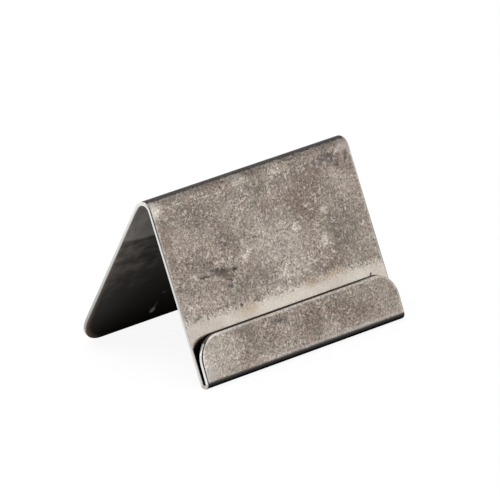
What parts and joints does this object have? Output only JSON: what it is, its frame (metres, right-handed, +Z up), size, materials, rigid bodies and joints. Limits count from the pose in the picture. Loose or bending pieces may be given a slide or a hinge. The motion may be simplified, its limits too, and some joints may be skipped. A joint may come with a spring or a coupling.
{
  "type": "place card holder",
  "caption": "Tent-shaped place card holder folded from one strip of worn stainless steel, with a lip along its foot that holds the card upright.",
  "frame": {"origin": "on the table, at the centre of the bounding box's bottom face, under the middle of the holder", "axes": "+X along the ridge and the card slot, across the holder; -Y towards the reader of the card, so the lip and the slot are on the -Y side and the rear leg on the +Y side; +Z up"},
  "size_m": [0.06, 0.0396, 0.037],
  "materials": {
    "worn_steel": "tumbled and aged stainless steel, speckled warm grey, with bright bare cut edges"
  },
  "bodies": {
    "root": {"rear_leg": "worn_steel", "ridge_bend": "worn_steel", "front_panel": "worn_steel", "foot_fold_rear": "worn_steel", "foot_fold_front": "worn_steel", "card_lip": "worn_steel"}
  },
  "joints": []
}
